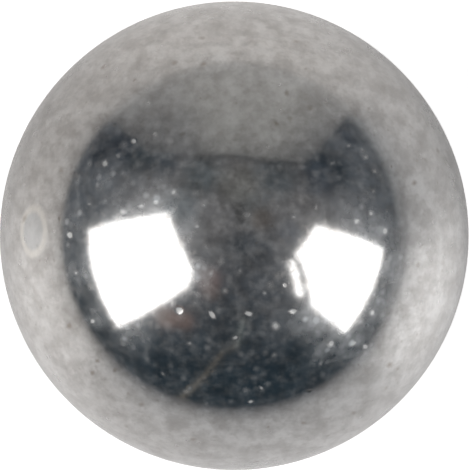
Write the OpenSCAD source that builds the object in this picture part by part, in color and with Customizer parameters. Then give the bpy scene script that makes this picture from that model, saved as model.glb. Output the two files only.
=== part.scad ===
// Solid steel ball: one piece, headed from wire, then ground and lapped to a
// true sphere. The frame's origin is the ball's centre.

/* [Ball] */
// Diameter of the ball
ball_d = 20; // [3:0.5:60]

/* [Hidden] */

// Segments round a great circle in a preview
$fn = 160;

// Bare polished steel
steel_grey = [0.70, 0.70, 0.69];

// The whole object: a solid sphere on the origin
module ball() {
    color(steel_grey)
        sphere(d = ball_d);
}

ball();
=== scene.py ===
"""A worn steel ball on a white sheet, in a dim studio with two softboxes and a grey screen.

The ball is the part. All that it mirrors is the stage, at likely sizes and places.
"""

import math
import random
from typing import NamedTuple

import bmesh
import bpy
from mathutils import Matrix, Vector
from mathutils.geometry import intersect_line_sphere
from mathutils.kdtree import KDTree


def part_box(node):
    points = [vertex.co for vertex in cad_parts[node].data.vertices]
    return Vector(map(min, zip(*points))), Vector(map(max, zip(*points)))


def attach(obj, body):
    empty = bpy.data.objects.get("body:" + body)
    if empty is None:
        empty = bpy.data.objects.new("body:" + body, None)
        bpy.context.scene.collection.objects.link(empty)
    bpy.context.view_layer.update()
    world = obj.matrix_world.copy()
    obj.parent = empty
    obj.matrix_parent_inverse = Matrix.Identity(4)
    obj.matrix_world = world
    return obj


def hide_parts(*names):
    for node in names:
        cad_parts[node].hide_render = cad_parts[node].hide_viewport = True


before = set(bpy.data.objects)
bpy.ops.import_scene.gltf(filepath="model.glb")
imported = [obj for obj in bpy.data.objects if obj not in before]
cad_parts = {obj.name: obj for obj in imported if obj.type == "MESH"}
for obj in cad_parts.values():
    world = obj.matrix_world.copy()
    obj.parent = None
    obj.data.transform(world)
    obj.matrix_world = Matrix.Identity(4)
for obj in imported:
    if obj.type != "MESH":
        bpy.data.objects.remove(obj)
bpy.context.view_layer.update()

MM = 0.001
BALL_LOW, BALL_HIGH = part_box("ball")
BALL_R = min(BALL_HIGH - BALL_LOW) / 2
# The camera's height above the ball's middle
CAMERA_Z = 15 * BALL_R

# ---------------------------------------------------------------- the ball's wear

# Squares along one edge of the cube that is blown up into the ball
BLANK_SQUARES = 64
# A pit takes the place of four squares, so its rim has eight corners. Each reaches a share of the
# pit's oval between two limits, on a listed pit and on a small one
RIM_CORNERS = 8
EVEN_RIM = (0.82, 1.1)
UNEVEN_RIM = (0.7, 1.15)
# Rings of a pit from its rim to its floor: share of its width, of its depth and of its roughness
PIT_PROFILE = ((1.4, 0.0, 0.0), (1.05, 0.2, 0.3), (0.7, 0.7, 0.6), (0.25, 1.0, 0.95))
RIM_INSET = 0.01 * MM
# The corners of the squares under a pit are moved to at least this many times as far out as its
# oval reaches, and a half axis that would ask for more than this many squares is shortened
RIM_ROOM = 1.65
SQUARES_ROOM = 1.5
# The least area of a square beside a pit, as a share of an untouched one
SQUEEZED = 0.2

# Listed marks, as seen from the camera above. Each is how far right of the ball's middle
# and how far behind it, half its length, half its width, all in mm, and its turn in degrees
BRIGHT_PITS = (
    (-2.36, -3.17, 0.20, 0.18, -20),
    (-0.95, -3.38, 0.22, 0.14, -50),
    (2.54, -3.22, 0.22, 0.12, 8),
    (-4.28, 4.05, 0.15, 0.11, -30),
    (0.62, -3.33, 0.22, 0.11, -10),
    (-7.03, 0.03, 0.22, 0.14, 88),
)
CLEAR_PITS = (
    (1.78, -3.86, 0.22, 0.21, 80),
    (5.84, 0.95, 0.20, 0.16, 0),
    (5.22, 0.58, 0.20, 0.15, 40),
    (6.45, 0.20, 0.20, 0.12, 80),
    (-6.05, -3.65, 0.17, 0.13, 70),
    (-5.52, 3.08, 0.22, 0.15, 80),
    (-3.35, 1.40, 0.16, 0.13, 0),
    (-2.60, 1.85, 0.17, 0.14, 45),
    (2.18, -2.10, 0.12, 0.11, -30),
    (4.15, -4.60, 0.22, 0.22, 60),
    (5.90, -3.30, 0.21, 0.12, 80),
    (5.10, -4.60, 0.16, 0.12, 20),
    (5.60, -4.75, 0.16, 0.13, 0),
    (0.70, -7.10, 0.22, 0.09, 5),
    (1.15, -6.50, 0.21, 0.08, -35),
    (0.05, -4.35, 0.16, 0.10, 30),
)
FAINT_PITS = (
    (-3.38, 4.37, 0.20, 0.14, -30),
    (-3.65, 5.70, 0.20, 0.10, -20),
    (-4.96, 3.40, 0.16, 0.13, 60),
    (-5.85, 2.20, 0.20, 0.11, 90),
    (-6.20, 1.35, 0.14, 0.10, 0),
    (-4.75, 1.00, 0.18, 0.14, 0),
    (-3.98, 1.24, 0.17, 0.11, 0),
    (-6.75, -1.60, 0.20, 0.13, 70),
    (4.20, 3.10, 0.20, 0.11, 20),
    (4.90, 3.85, 0.15, 0.13, 0),
    (5.62, 3.35, 0.20, 0.15, 40),
    (6.00, 2.75, 0.15, 0.13, 0),
    (5.95, 1.90, 0.15, 0.13, 60),
    (3.50, 1.20, 0.20, 0.10, 80),
    (-1.30, 1.30, 0.15, 0.11, 0),
    (-1.60, 0.40, 0.13, 0.10, 20),
    (0.65, 0.90, 0.13, 0.08, 60),
    (2.55, 0.80, 0.14, 0.11, 0),
    (-1.00, -1.60, 0.15, 0.13, 60),
    (-0.40, -2.35, 0.18, 0.14, -30),
    (0.25, -1.50, 0.20, 0.11, 80),
    (1.30, -2.45, 0.14, 0.11, 0),
    (1.70, -5.10, 0.18, 0.14, 40),
    (-1.90, -4.60, 0.14, 0.11, 0),
    (-1.90, -6.50, 0.17, 0.14, 20),
    (-3.05, -5.90, 0.15, 0.10, -45),
    (3.70, -5.45, 0.15, 0.11, 80),
)
STAINS = (
    (-1.40, 8.45, 0.16, 0.08, 0),
    (-2.55, 7.40, 0.16, 0.12, 20),
    (-1.30, 7.35, 0.14, 0.12, 0),
    (-5.60, 7.20, 0.17, 0.12, 45),
    (-7.40, 2.80, 0.14, 0.12, 70),
    (-5.85, -5.35, 0.14, 0.09, 0),
    (-6.06, -5.85, 0.12, 0.12, 0),
    (-5.10, -5.75, 0.17, 0.09, 80),
    (-7.05, -3.85, 0.12, 0.12, 60),
    (-3.95, -7.20, 0.14, 0.12, -10),
    (-1.75, -8.70, 0.17, 0.08, 0),
    (2.65, 8.30, 0.16, 0.08, -10),
    (3.25, 5.45, 0.16, 0.13, 60),
    (2.25, 6.10, 0.16, 0.12, 80),
    (2.40, 5.00, 0.14, 0.09, 0),
    (1.80, 4.80, 0.14, 0.08, -30),
    (7.70, 2.25, 0.14, 0.12, 70),
    (8.69, 3.63, 0.14, 0.08, 130),
    (7.85, -1.25, 0.14, 0.12, -80),
    (6.64, -5.51, 0.17, 0.12, 30),
    (6.50, -6.50, 0.16, 0.12, -40),
    (5.09, -7.58, 0.14, 0.12, 0),
    (2.95, -8.00, 0.14, 0.08, 0),
    (-8.97, 0.73, 0.20, 0.13, 70),
)
# Small pits scattered at random: how many are tried, their least and greatest half width in mm,
# and how many times as long as wide they are
SCATTERED = 700
SMALL_PIT = (0.04, 0.11)
SMALL_STRETCH = (1.0, 1.8)
# Depth of a pit for each mm of its half width
DEEP = 0.09
SHALLOW = 0.04
FLAT = 0.02
# Where the polish is unmarked: place as above, and radius in mm
UNMARKED = (
    (-4.0, -1.6, 2.4),
    (4.9, -1.9, 2.0),
    (3.6, -0.9, 1.0),
    (2.6, -1.5, 1.2),
)
WEAR_SEED = 7


class Pit(NamedTuple):
    """A pit: its place as a unit vector, its two half axes and depth in metres, the share of its
    oval that each rim corner reaches, and how rough and how rusty it is.
    """

    place: Vector
    long_side: Vector
    short_side: Vector
    depth: float
    outline: list
    rough: float
    rust: float

    def reach(self, away):
        """How far the oval's edge is from its middle in the direction away, a unit vector."""
        upright = self.long_side.cross(self.short_side)
        along = away.cross(self.short_side).dot(upright)
        across = self.long_side.cross(away).dot(upright)
        return upright.length_squared / math.hypot(along, across)

    def fitted(self, limit):
        """This pit with neither half axis longer than a limit."""
        long_side = self.long_side * min(1, limit / self.long_side.length)
        short_side = self.short_side * min(1, limit / self.short_side.length)
        return self._replace(long_side=long_side, short_side=short_side)

    def level(self, step):
        """The unit vector of a step from the middle, laid level with the ball's surface there."""
        return (step - self.place * step.dot(self.place)).normalized()


def seen_at(x, y):
    """The ball's point that the camera sees x mm right of and y mm behind its middle, as a unit
    vector.
    """
    camera = Vector((0, 0, CAMERA_Z))
    aim = Vector((x * MM, y * MM, 0))
    through = intersect_line_sphere(camera, aim, Vector(), BALL_R, False)
    return max(through, key=lambda point: point.z).normalized()


def rim_shares(limits, draw):
    """The share of a pit's oval that each corner of its rim reaches."""
    return [draw.uniform(*limits) for _ in range(RIM_CORNERS)]


def random_side(draw):
    """A unit vector in any direction, all equally likely."""
    return Vector([draw.gauss(0, 1) for _ in range(3)]).normalized()


def placed_pits(marks, steepness, rough, rust, draw):
    """The pits of a list of marks, each a little more or less rough and rusty than the others."""
    for x, y, half_length, half_width, turn in marks:
        place = seen_at(x, y)
        right, back = math.cos(math.radians(turn)), math.sin(math.radians(turn))
        long_side = seen_at(x + right * half_length, y + back * half_length) - place
        short_side = seen_at(x - back * half_width, y + right * half_width) - place
        yield Pit(
            place=place,
            long_side=long_side * BALL_R,
            short_side=short_side * BALL_R,
            depth=half_width * steepness * MM,
            outline=rim_shares(EVEN_RIM, draw),
            rough=rough * draw.uniform(0.85, 1.1),
            rust=rust * draw.uniform(0.6, 1.0),
        )


def small_pit(place, draw):
    """A pit of random size and shape."""
    half_width = draw.triangular(SMALL_PIT[0], SMALL_PIT[1], SMALL_PIT[0]) * MM
    along = place.cross(random_side(draw)).normalized()
    return Pit(
        place=place,
        long_side=along * half_width * draw.uniform(*SMALL_STRETCH),
        short_side=place.cross(along) * half_width,
        depth=half_width * FLAT,
        outline=rim_shares(UNEVEN_RIM, draw),
        rough=draw.uniform(0.1, 0.4),
        rust=draw.uniform(0.0, 0.6),
    )


def marked(place):
    """Whether a place on the ball, a unit vector, is outside the unmarked polish."""
    return all((place - seen_at(x, y)).length * BALL_R > clear * MM for x, y, clear in UNMARKED)


def all_pits():
    """Every pit that the ball is meant to have: first the listed ones, then the small ones."""
    draw = random.Random(WEAR_SEED)
    yield from placed_pits(BRIGHT_PITS, DEEP, rough=1.3, rust=0.0, draw=draw)
    yield from placed_pits(CLEAR_PITS, SHALLOW, rough=0.95, rust=0.0, draw=draw)
    yield from placed_pits(FAINT_PITS, FLAT, rough=0.65, rust=0.0, draw=draw)
    yield from placed_pits(STAINS, FLAT, rough=0.2, rust=0.7, draw=draw)
    places = [random_side(draw) for _ in range(SCATTERED)]
    yield from (small_pit(place, draw) for place in places if marked(place))


def ball_blank():
    """A sphere of nearly equal squares: a cube's faces cut into a grid and blown up."""
    bm = bmesh.new()
    bmesh.ops.create_cube(bm, size=2.0)
    bmesh.ops.subdivide_edges(bm, edges=bm.edges, cuts=BLANK_SQUARES - 1, use_grid_fill=True)
    for vert in bm.verts:
        evened = Vector(math.tan(part * math.pi / 4) for part in vert.co)
        vert.co = evened.normalized() * BALL_R
    bm.verts.index_update()
    return bm


def folded(face, square):
    """Whether a square has turned over, has a corner bent in or is squeezed away."""
    face.normal_update()
    if face.normal.dot(face.verts[0].co) < 0 or face.calc_area() < square * square * SQUEEZED:
        return True
    return not all(corner.is_convex for corner in face.loops)


def seat_pits(bm, pits):
    """Moves a free grid corner and its four squares under each pit.

    Returns each seated pit with its corner and one corner of its rim. A pit that finds no free
    corner, or that would fold a square beside it, is left out.
    """
    corners = [v for v in bm.verts if len(v.link_faces) == 4]
    finder = KDTree(len(corners))
    for index, corner in enumerate(corners):
        finder.insert(corner.co, index)
    finder.balance()
    taken = set()
    seated = []
    for pit in pits:
        corner = corners[finder.find(pit.place * BALL_R)[1]]
        around = dict.fromkeys(v for f in corner.link_faces for v in f.verts if v != corner)
        if corner.index in taken or any(v.index in taken for v in around):
            continue
        moved = [*around, corner]
        before = [v.co.copy() for v in moved]
        square = min(edge.calc_length() for edge in corner.link_edges)
        pit = pit.fitted(square * SQUARES_ROOM / RIM_ROOM)
        for vert in around:
            step = vert.co - corner.co
            out = pit.level(step)
            far = max(step.length, pit.reach(out) * RIM_ROOM)
            vert.co = (pit.place * BALL_R + out * far).normalized() * BALL_R
        corner.co = pit.place * BALL_R
        beside = {face for vert in around for face in vert.link_faces}.difference(corner.link_faces)
        if any(folded(face, square) for face in beside):
            for vert, was in zip(moved, before):
                vert.co = was
            continue
        taken.update(v.index for v in moved)
        seated.append((pit, corner, next(iter(around))))
    return seated


def sink(floor, pit, ring, rough, rust):
    """Puts a floor's corners on one ring of the pit's profile."""
    share, fall, roughness = ring
    for vert, uneven in zip(floor.verts, pit.outline):
        out = pit.level(vert.co)
        rim = pit.place * BALL_R + out * pit.reach(out) * share * uneven
        vert.co = rim.normalized() * (BALL_R - pit.depth * fall)
        vert[rough] = roughness * pit.rough
        vert[rust] = roughness * pit.rust


def worn_ball(finish):
    """The ball as a piece: the blank with its pits sunk, and exact normals on what stays round."""
    bm = ball_blank()
    rough = bm.verts.layers.float.new("rough")
    rust = bm.verts.layers.float.new("rust")
    seated = seat_pits(bm, all_pits())
    bmesh.ops.dissolve_verts(bm, verts=[corner for pit, corner, rim in seated])
    floors = [
        next(face for face in rim.link_faces if len(face.verts) == RIM_CORNERS)
        for pit, corner, rim in seated
    ]
    for ring in PIT_PROFILE:
        bmesh.ops.inset_individual(bm, faces=floors, thickness=RIM_INSET)
        for floor, (pit, corner, rim) in zip(floors, seated):
            sink(floor, pit, ring, rough, rust)
    bm.normal_update()
    normals = [v.normal.copy() if v[rough] > 0 else v.co.normalized() for v in bm.verts]
    smooth(bm)
    piece = mesh_object("worn_ball", bm, finish)
    piece.data.normals_split_custom_set_from_vertices(normals)
    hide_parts("ball")
    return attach(piece, "root")


def smooth(bm):
    """Shades every face smooth."""
    for face in bm.faces:
        face.smooth = True


def mesh_object(name, bm, finish):
    """Ends a bmesh as an object with one finish."""
    mesh = bpy.data.meshes.new(name)
    bm.to_mesh(mesh)
    bm.free()
    mesh.materials.append(finish)
    made = bpy.data.objects.new(name, mesh)
    bpy.context.scene.collection.objects.link(made)
    return made


# ---------------------------------------------------------------- shader nodes

# A Mix node's sockets when it mixes colours, which share their names with those of its other kinds
MIX_FACTOR, MIX_FIRST, MIX_SECOND, MIX_RESULT = 0, 6, 7, 2


class Value:
    """An output of a node tree. Arithmetic on it adds Math nodes."""

    def __init__(self, tree, socket=None):
        self.tree = tree
        self.socket = socket

    def node(self, kind, inputs=None, output=0, **settings):
        """Adds a shader node: its settings first, then a value or a link for each input socket."""
        made = self.tree.nodes.new("ShaderNode" + kind)
        for name, setting in settings.items():
            setattr(made, name, setting)
        for name, value in (inputs or {}).items():
            if isinstance(value, Value):
                self.tree.links.new(value.socket, made.inputs[name])
            else:
                made.inputs[name].default_value = value
        return Value(self.tree, made.outputs[output] if made.outputs else None)

    def maths(self, operation, *values):
        """A Math node's result for these values."""
        return self.node("Math", dict(enumerate(values)), operation=operation)

    def __add__(self, other):
        return self.maths("ADD", self, other)

    __radd__ = __add__

    def __sub__(self, other):
        return self.maths("SUBTRACT", self, other)

    def __rsub__(self, other):
        return self.maths("SUBTRACT", other, self)

    def __mul__(self, other):
        return self.maths("MULTIPLY", self, other)

    __rmul__ = __mul__

    def at_most(self, other):
        """The smaller of this and another."""
        return self.maths("MINIMUM", self, other)

    def ramp(self, low, high):
        """0 at low and 1 at high with a smooth rise between; low may be the larger of the two."""
        return self.node(
            "MapRange",
            {"Value": self, "From Min": low, "From Max": high},
            interpolation_type="SMOOTHSTEP",
        )

    def blend(self, first, second):
        """The colour first where this is 0, and second where it is 1."""
        sockets = {MIX_FACTOR: self, MIX_FIRST: first, MIX_SECOND: second}
        return self.node("Mix", sockets, output=MIX_RESULT, data_type="RGBA")

    def part(self, axis):
        """The X, Y or Z of this vector."""
        return self.node("SeparateXYZ", {"Vector": self}, output=axis)

    def times(self, factor):
        """This vector times a number."""
        return self.node("VectorMath", {0: self, "Scale": factor}, operation="SCALE")

    def away_from(self, point):
        """The distance of this place from a point."""
        return self.node("VectorMath", {0: self, 1: point}, output="Value", operation="DISTANCE")

    def stretched(self, factors):
        """This place with its X, Y and Z each times a factor of its own."""
        return self.node("VectorMath", {0: self, 1: factors}, operation="MULTIPLY")

    def clouds(self, size, detail=2.0, harsh=0.5):
        """Cloudy noise over this place, with blotches about size across and finer ones on them."""
        settings = {"Vector": self, "Scale": 1 / size, "Detail": detail, "Roughness": harsh}
        return self.node("TexNoise", settings)

    def specks(self, size):
        """Soft round specks about size apart, each between faint and full."""
        settings = {"Vector": self, "Scale": 1 / size}
        near = self.node("TexVoronoi", settings).ramp(0.45, 0.0)
        return near * self.node("TexVoronoi", settings, output="Color").part("X")


def material(name):
    """A new material, and a Value to start its expressions from."""
    made = bpy.data.materials.new(name)
    made.use_nodes = True
    made.node_tree.nodes.clear()
    return made, Value(made.node_tree)


def in_mm(start):
    """The place on the object, in millimetres."""
    return start.node("TexCoord", output="Object").times(1 / MM)


def light_path(start):
    """Which rays ask: 1 or 0 for camera rays, for glossy rays and for transmission rays."""
    kinds = ("Is Camera Ray", "Is Glossy Ray", "Is Transmission Ray")
    return [start.node("LightPath", output=kind) for kind in kinds]


def show(shader, output="Material"):
    """Links a shader to its tree's output."""
    shader.node("Output" + output, {"Surface": shader})


def grey(level):
    """A colour with no tint."""
    return (level, level, level, 1.0)


# ---------------------------------------------------------------- the ball's finish

STEEL = (0.705, 0.692, 0.678, 1.0)
STEEL_DULLED = (0.475, 0.457, 0.441, 1.0)
DIRT = (0.360, 0.330, 0.300, 1.0)
DUST = (0.620, 0.615, 0.600, 1.0)
GREASE = (0.590, 0.625, 0.655, 1.0)
RUST = (0.250, 0.195, 0.150, 1.0)
WATER_MARK = (0.760, 0.735, 0.690, 1.0)
WATER_DRIED = (0.540, 0.550, 0.555, 1.0)
# Roughness of the polish, and the added roughness of a dull spot and of a pit's floor
POLISH = 0.12
SPOT_ROUGHNESS = 0.05
PIT_ROUGHNESS = 0.35
# The haze that lies over the polish
HAZE_ROUGHNESS = 0.3
HAZE_IOR = 2.0
# How the film is drawn out along Z: a smaller factor makes its clouds longer
DRAWN_OUT = (1.0, 1.0, 0.6)
# Where a dried film of grease hazes the polish: place as the camera sees it and radius, in mm,
# and how thick it is
SMEARS = (
    (3.7, -3.5, 1.5, 1.2),
    (2.4, -3.9, 1.1, 0.4),
    (3.8, -5.0, 1.2, 0.6),
    (5.2, -4.6, 1.5, 0.9),
    (6.2, -3.0, 1.0, 0.8),
    (6.8, -1.4, 1.1, 0.8),
    (6.4, 0.2, 1.1, 0.9),
    (5.4, 0.8, 1.4, 0.75),
    (-3.2, 1.7, 1.3, 0.9),
    (-4.6, 1.4, 1.4, 0.45),
    (-2.0, 0.3, 1.0, 0.5),
    (-6.8, -1.4, 1.3, 0.45),
    (-6.9, 0.6, 1.0, 0.5),
    (-4.3, -4.3, 1.2, 0.5),
    (-1.5, -1.6, 0.9, 0.6),
    (-5.6, 2.3, 1.2, 0.4),
    (-6.0, -3.5, 0.8, 0.7),
)
WATER_SPOT = (-8.61, 0.17)
WATER_SPOT_R = 1.0


def polished_steel():
    """Polished steel with dull spots, pale dust and specks, grease, pits and a water spot."""
    made, start = material("polished_steel")
    place = in_mm(start)
    drawn_out = place.stretched(DRAWN_OUT)
    film = drawn_out.clouds(0.8, 4.0, 0.65)
    smudge = place.clouds(2.5, 4.0, 0.6)
    spots = drawn_out.clouds(0.3, 2.0).ramp(0.5, 0.72)
    dust = place.times(1.3).clouds(0.6, 2.0).ramp(0.35, 0.8)
    specks = place.specks(0.48)
    pit = start.node("Attribute", output="Fac", attribute_name="rough")
    pit = (pit * pit).at_most(1.0)
    rust = start.node("Attribute", output="Fac", attribute_name="rust")

    from_spot = place.away_from(seen_at(*WATER_SPOT) * BALL_R / MM) + smudge * 0.35
    inner_edge = from_spot.ramp(WATER_SPOT_R * 0.85, WATER_SPOT_R * 1.1)
    outer_edge = from_spot.ramp(WATER_SPOT_R * 1.4, WATER_SPOT_R * 1.15)

    grease = 0.0
    for x, y, radius, thick in SMEARS:
        near = place.away_from(seen_at(x, y) * BALL_R / MM).ramp(radius, 0.0)
        grease = grease + near * thick
    haze = grease + 0.25 + smudge.ramp(0.35, 0.75) * 0.45
    crust = place.clouds(0.5, 2.0).ramp(0.25, 0.75) * 0.45 + specks
    crust = (crust * grease).at_most(0.6)
    dust = dust * (0.09 + place.part("Y").ramp(-6, -2) * 0.06) + specks * 0.18

    colour = film.ramp(0.3, 0.7).blend(STEEL, STEEL_DULLED)
    colour = (spots * 0.25).blend(colour, DIRT)
    colour = crust.blend(colour, GREASE)
    colour = (pit * 0.9).blend(colour, DUST)
    colour = ((1.0 - inner_edge) * 0.6).blend(colour, WATER_DRIED)
    colour = (inner_edge * outer_edge * 0.8).blend(colour, WATER_MARK)
    colour = rust.blend(colour, RUST)
    show(
        start.node(
            "BsdfPrincipled",
            {
                "Base Color": colour,
                "Metallic": 1.0 - (dust + crust + pit * 0.6).at_most(1.0),
                "Roughness": POLISH + spots * SPOT_ROUGHNESS + pit * PIT_ROUGHNESS,
                "Coat Weight": haze.at_most(1.0),
                "Coat Roughness": HAZE_ROUGHNESS,
                "Coat IOR": HAZE_IOR,
            },
        )
    )
    return made


# ---------------------------------------------------------------- the studio

SOFTBOX_LIGHT = 3.6
# What the ball mirrors of each softbox, across and up from the middle of its cloth, in mm
LEFT_CLOTH = ((-194, -232), (197, -243), (190, 158), (145, 225), (-184, 233), (-186, 0))
RIGHT_CLOTH = (
    (179, -232),
    (183, 0),
    (177, 237),
    (-44, 236),
    (-66, 165),
    (-120, 82),
    (-198, -12),
    (-198, -224),
    (-20, -229),
)
RIGHT_STRIP = ((-76, 219), (-99, 239), (-200, 76), (-192, 40))
SCREEN_BACK = 520
# The grey screen's foot from left to right, and its top edge from right to left: how far right and
# up, in mm. The edge's first corners are on a rail, and its left end droops
SCREEN_LEFT, SCREEN_RIGHT = -545, 494
SCREEN_TOP = (
    (512, 580),
    (470, 645),
    (250, 697),
    (-120, 655),
    (-240, 640),
    (-430, 510),
    (-545, 445),
)
RAIL_CORNERS = 5
RAIL_WIDTH = 32
# The radius of the curve at the screen's foot
SCREEN_CURVE = 80
# The screen's paper, its painted shade on the sides, and its painted light at the foot
SCREEN_PAPER = (0.600, 0.600, 0.585, 1.0)
SCREEN_SHADED = (0.385, 0.390, 0.395, 1.0)
SCREEN_FOOT_PAINTED_LIGHT = (0.750, 0.740, 0.730, 1.0)
# The white sheet: its height, its edges, and its colour near the ball on the left and on the
# right, and its colour with painted shade far away on the left and on the right
SHEET_Z = -BALL_R / MM
SHEET_LEFT, SHEET_RIGHT, SHEET_FRONT = -600, 1000, -500
SHEET_NEAR = ((0.880, 0.842, 0.812, 1.0), (0.850, 0.842, 0.842, 1.0))
SHEET_FAR_PAINTED_SHADE = ((0.402, 0.385, 0.364, 1.0), (0.396, 0.396, 0.406, 1.0))
# Painted light on the far wall: its darker top and its lighter foot
WALL_PAINTED_SHADE = (0.080, 0.095, 0.110, 1.0)
WALL_PAINTED_LIGHT = (0.360, 0.370, 0.380, 1.0)
ROOM_R = 1500


def direction(azimuth, elevation):
    """The unit vector towards an azimuth and an elevation in degrees; +X is 0 and +Y is 90."""
    around, up = math.radians(azimuth), math.radians(elevation)
    level = math.cos(up)
    return Vector((level * math.cos(around), level * math.sin(around), math.sin(up)))


def studio_part(name, bm, finish):
    """Ends a bmesh drawn in mm as a part of the studio that the camera doesn't see."""
    bmesh.ops.scale(bm, verts=bm.verts, vec=(MM, MM, MM))
    made = mesh_object(name, bm, finish)
    made.visible_camera = False
    return made


def glow(name, colour, strength=1.0):
    """A finish that only gives light."""
    made, start = material(name)
    show(start.node("Emission", {"Color": colour, "Strength": strength}))
    return made


def facing(centre, towards, roll):
    """A placing at centre with local Z along towards and local Y up, then rolled by degrees."""
    across = Vector((0, 0, 1)).cross(towards).normalized()
    axes = Matrix((across, towards.cross(across), towards)).transposed().to_4x4()
    return Matrix.Translation(centre) @ axes @ Matrix.Rotation(math.radians(roll), 4, "Z")


def cut_panel(name, outline, placing, finish):
    """A flat panel with an outline in mm."""
    bm = bmesh.new()
    corners = [bm.verts.new((x, y, 0)) for x, y in outline]
    bmesh.ops.contextual_create(bm, geom=corners)
    bmesh.ops.transform(bm, matrix=placing, verts=bm.verts)
    studio_part(name, bm, finish)


def softboxes():
    """The two softboxes that light the ball, and a strip of cloth beside the right one."""
    cloth = glow("softbox_cloth", grey(1.0), SOFTBOX_LIGHT)
    left = facing(centre=direction(194.1, 42.0) * 522, towards=direction(211.0, 33.3), roll=-4.2)
    cut_panel("softbox_left", LEFT_CLOTH, left, cloth)
    right = facing(centre=direction(-16.2, 38.1) * 565, towards=direction(-48.7, 24.5), roll=5.5)
    cut_panel("softbox_right", RIGHT_CLOTH, right, cloth)
    cut_panel("softbox_right_strip", RIGHT_STRIP, right, cloth)


def bar(name, start, end, width, finish):
    """A straight round bar between two points in mm."""
    bm = bmesh.new()
    run = Vector(end) - Vector(start)
    middle = Matrix.Translation((Vector(start) + Vector(end)) / 2)
    bmesh.ops.create_cone(
        bm,
        cap_ends=True,
        segments=16,
        radius1=width / 2,
        radius2=width / 2,
        depth=run.length,
        matrix=middle @ run.to_track_quat("Z", "Y").to_matrix().to_4x4(),
    )
    studio_part(name, bm, finish)


def bars():
    """A stand in front, a bar and its hook overhead, and the dark rail and edge of the screen. Each
    glows with a fixed colour, painted light instead of lamp light.
    """
    # Painted light: the stand glows in fixed colours, and the bars glow black
    leg = glow("stand_leg", (0.19, 0.175, 0.15, 1.0))
    pole = glow("stand_pole", (0.29, 0.32, 0.31, 1.0))
    black = glow("black_bar", (0.0, 0.002, 0.004, 1.0))
    dark = glow("dark_bar", (0.01, 0.015, 0.02, 1.0))
    bar("stand_leg", (-61, -600, 383), (-200, -600, -10), 20, leg)
    bar("stand_brace", (-70, -600, 376), (12, -600, 439), 15, leg)
    bar("stand_pole", (10, -600, 430), (74, -600, 740), 20, pole)
    bar("overhead_bar", (-12, 84, 300), (13, 76, 300), 14, black)
    bar("overhead_hook", (13, 76, 300), (19, 30, 300), 24, black)
    rail = [(right, SCREEN_BACK - 8, up - 6) for right, up in SCREEN_TOP[:RAIL_CORNERS]]
    for start, end in zip(rail, rail[1:]):
        bar("screen_rail", start, end, RAIL_WIDTH, dark)
    bar("screen_edge", (SCREEN_RIGHT, SCREEN_BACK - 8, -10), rail[0], 7, dark)


def grey_screen():
    """The grey screen behind: it curves up from the sheet, and its two sides are in shade."""
    made, start = material("grey_screen")
    place = in_mm(start)
    side = place.part("X")
    lit = side.ramp(-300, -60) * side.ramp(520, 180)
    paper_with_painted_light_and_shade = lit.blend(SCREEN_SHADED, SCREEN_PAPER)
    height = place.part("Z")
    # Painted light: the paper is lighter towards the foot of the screen
    low = height.ramp(60, -10) * 0.6 + height.ramp(300, 60) * 0.4
    paper_with_painted_light_and_shade = low.blend(paper_with_painted_light_and_shade, SCREEN_FOOT_PAINTED_LIGHT)
    _, glossy, through = light_path(start)
    # Painted light near the foot, for glossy and transmission rays
    white = (glossy + through) * height.ramp(45, -10) * 0.06
    show(
        start.node(
            "BsdfPrincipled",
            {
                "Base Color": paper_with_painted_light_and_shade,
                "Roughness": 0.9,
                "Emission Color": white,
                "Emission Strength": 1.0,
            },
        )
    )
    made.cycles.emission_sampling = "NONE"
    bm = bmesh.new()
    foot = SCREEN_BACK - SCREEN_CURVE
    ends = [bm.verts.new((x, foot, SHEET_Z)) for x in (SCREEN_LEFT, SCREEN_RIGHT)]
    swept = bmesh.ops.spin(
        bm,
        geom=[bm.edges.new(ends), *ends],
        cent=(0, foot, SHEET_Z + SCREEN_CURVE),
        axis=(1, 0, 0),
        angle=math.radians(90),
        steps=12,
    )
    upper = [e for e in swept["geom_last"] if isinstance(e, bmesh.types.BMEdge)]
    corners = sorted(upper[0].verts, key=lambda corner: corner.co.x)
    corners += [bm.verts.new((right, SCREEN_BACK, up)) for right, up in SCREEN_TOP]
    bmesh.ops.contextual_create(bm, geom=corners)
    smooth(bm)
    studio_part("grey_screen", bm, made)


def side_wall():
    """The foot of a pale wall far off to the right, a glow of painted light: darker above and
    lighter at its foot.
    """
    made, start = material("side_wall")
    colour = in_mm(start).part("Z").ramp(110, -10).blend(WALL_PAINTED_SHADE, WALL_PAINTED_LIGHT)
    show(start.node("Emission", {"Color": colour}))
    outline = ((-780, -70), (780, -70), (780, 70), (-780, 70))
    placing = facing(centre=Vector((900, 270, 60)), towards=Vector((1, 0, 0)), roll=0)
    cut_panel("side_wall", outline, placing, made)


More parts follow.
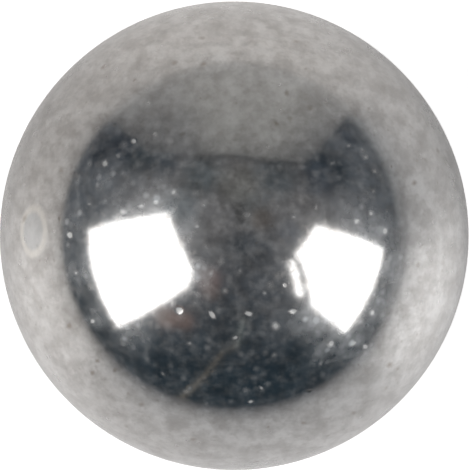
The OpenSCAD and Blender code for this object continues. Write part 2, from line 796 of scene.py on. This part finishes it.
# Soft patches of painted light and shade in the room: azimuth, elevation and half width in degrees,
# and colour
ROOM_LIGHT_AND_SHADE_PATCHES = (
    (285, 85, 9, (0.030, 0.040, 0.050, 1.0)),
    (330, 79, 12, (0.040, 0.052, 0.066, 1.0)),
    (268, 46, 19, (0.026, 0.040, 0.052, 1.0)),
    (55, 75, 12, (0.200, 0.225, 0.245, 1.0)),
    (3, 63, 8, (0.120, 0.140, 0.170, 1.0)),
    (43, 13, 8, (0.040, 0.053, 0.072, 1.0)),
    (31, 29, 10, (0.015, 0.027, 0.038, 1.0)),
    (40, 34, 11, (0.015, 0.030, 0.045, 1.0)),
    (34, 40, 13, (0.040, 0.055, 0.075, 1.0)),
    (147, 6, 10, (0.015, 0.022, 0.032, 1.0)),
    (140, 18, 12, (0.015, 0.025, 0.040, 1.0)),
    (140, 30, 10, (0.015, 0.030, 0.040, 1.0)),
    (134, 41, 10, (0.030, 0.045, 0.060, 1.0)),
    (261, 50, 13, (0.050, 0.062, 0.075, 1.0)),
    (156, 60, 14, (0.140, 0.172, 0.195, 1.0)),
    (118, 57, 14, (0.085, 0.110, 0.125, 1.0)),
    (55, 56, 15, (0.080, 0.100, 0.115, 1.0)),
    (247, 61, 7, (0.170, 0.140, 0.132, 1.0)),
    (240, 66, 8, (0.280, 0.210, 0.205, 1.0)),
    (230, 38, 8, (0.260, 0.195, 0.175, 1.0)),
    (239, 42, 7, (0.250, 0.185, 0.168, 1.0)),
    (85, 66, 14, (0.185, 0.190, 0.182, 1.0)),
    (33, 75, 8, (0.155, 0.135, 0.120, 1.0)),
)


def dim_room():
    """The room round the set, painted as a glow of light and shade: pale behind and above, and dark
    in front.
    """
    made, start = material("dim_room")
    place = in_mm(start).times(1 / ROOM_R)
    back, height = place.part("Y"), place.part("Z")
    low = back.ramp(-0.45, 0.35).blend((0.022, 0.038, 0.052, 1.0), (0.105, 0.120, 0.138, 1.0))
    high = back.ramp(-0.5, 0.3).blend((0.075, 0.088, 0.104, 1.0), (0.180, 0.182, 0.190, 1.0))
    colour = height.ramp(0.3, 0.85).blend(low, high)
    for azimuth, elevation, size, shade in ROOM_LIGHT_AND_SHADE_PATCHES:
        reach = math.radians(size)
        near = place.away_from(direction(azimuth, elevation)).ramp(reach, reach * 0.3)
        colour = (near * 0.8).blend(colour, shade)
    # Painted shade: darker blotches overhead
    patchy = place.clouds(0.11, 4.0).ramp(0.35, 0.75) * height.ramp(0.6, 0.8)
    colour = (patchy * 0.4).blend(colour, grey(0.02))
    show(start.node("Emission", {"Color": colour}))
    made.cycles.emission_sampling = "NONE"
    bm = bmesh.new()
    bmesh.ops.create_icosphere(bm, subdivisions=4, radius=ROOM_R)
    bmesh.ops.reverse_faces(bm, faces=bm.faces)
    smooth(bm)
    studio_part("dim_room", bm, made)


def white_sheet():
    """The sheet under the ball. Camera, glossy and transmission rays get more white from it."""
    made, start = material("white_sheet")
    place = in_mm(start)
    side, depth = place.part("X"), place.part("Y")
    apart = place.away_from((0, 0, SHEET_Z))
    # Painted light for what mirrors the sheet: more white from behind, from the right and from the
    # left
    narrowed = place.stretched((1.5, 1.0, 1.0))
    back = depth.ramp(0, 40) * 0.03 + narrowed.away_from((0, 260, SHEET_Z)).ramp(260, 80) * 0.14
    ray = place.node("VectorMath", {0: place}, operation="NORMALIZE")
    right = ray.away_from(direction(-17, -18)).ramp(0.55, 0.1) * 0.23
    left = ray.away_from(direction(201, -26)).ramp(0.6, 0.1) * 0.05
    # Painted shade on the paper in two places: far off behind on the left, and near the ball on the
    # right
    shade = ray.away_from(direction(142, -8)).ramp(0.5, 0.15) * 0.22
    shade = shade + ray.away_from(direction(-16, -33)).ramp(0.34, 0.08) * 0.17
    # Painted shade: the paper is darker far from the ball, and most so in front
    far = apart.ramp(20, 420) * (1.0 - depth.ramp(0, 300) * 0.9) + depth.ramp(-40, -160) * 0.4
    near = (side - depth).ramp(-60, 60).blend(*SHEET_NEAR)
    away = (side - depth).ramp(-200, 200).blend(*SHEET_FAR_PAINTED_SHADE)
    paper_with_painted_light_and_shade = (far + shade).at_most(1.0).blend(near, away)
    direct, glossy, through = light_path(start)
    # White for the camera, and the painted light above for glossy and transmission rays
    white = direct * (0.68 + apart.ramp(20, 200) * 0.6) + (glossy + through) * (back + right + left)
    show(
        start.node(
            "BsdfPrincipled",
            {
                "Base Color": paper_with_painted_light_and_shade,
                "Roughness": 0.35,
                "IOR": 1.6,
                "Emission Color": white,
                "Emission Strength": 1.0,
            },
        )
    )
    made.cycles.emission_sampling = "NONE"
    bm = bmesh.new()
    bmesh.ops.create_grid(bm, x_segments=1, y_segments=1, size=1.0)
    half_size = ((SHEET_RIGHT - SHEET_LEFT) / 2, (SCREEN_BACK - SHEET_FRONT) / 2, 1)
    bmesh.ops.scale(bm, verts=bm.verts, vec=half_size)
    middle = ((SHEET_LEFT + SHEET_RIGHT) / 2, (SCREEN_BACK + SHEET_FRONT) / 2, SHEET_Z)
    bmesh.ops.translate(bm, verts=bm.verts, vec=middle)
    studio_part("white_sheet", bm, made).visible_camera = True


def backdrop():
    """A white surround for the camera, glossy and transmission rays that leave the set."""
    world = bpy.data.worlds.new("backdrop")
    bpy.context.scene.world = world
    world.use_nodes = True
    world.node_tree.nodes.clear()
    start = Value(world.node_tree)
    direct, glossy, through = light_path(start)
    seen = (direct + glossy + through).at_most(1.0)
    show(start.node("Background", {"Color": grey(1.0), "Strength": seen}), "World")


# ---------------------------------------------------------------- the camera

SENSOR = 36.0
PICTURE = 470
# The ball's outline in the picture, in pixels: its radius, and how far it is left and low
OUTLINE_R = 234.4
OUTLINE_LEFT = 0.75
OUTLINE_LOW = 0.75


def place_camera():
    """Puts the camera straight above the ball, whose outline fills the picture."""
    outline = math.tan(math.asin(BALL_R / CAMERA_Z))
    data = bpy.data.cameras.new("camera")
    data.sensor_width = SENSOR
    data.lens = SENSOR * OUTLINE_R / PICTURE / outline
    data.clip_start = 1 * MM
    data.shift_x = OUTLINE_LEFT / PICTURE
    data.shift_y = OUTLINE_LOW / PICTURE
    made = bpy.data.objects.new("camera", data)
    bpy.context.scene.collection.objects.link(made)
    made.location = (0, 0, CAMERA_Z)
    bpy.context.scene.camera = made


bpy.context.scene.view_settings.view_transform = "Standard"
place_camera()
worn_ball(polished_steel())
softboxes()
bars()
grey_screen()
side_wall()
dim_room()
white_sheet()
backdrop()
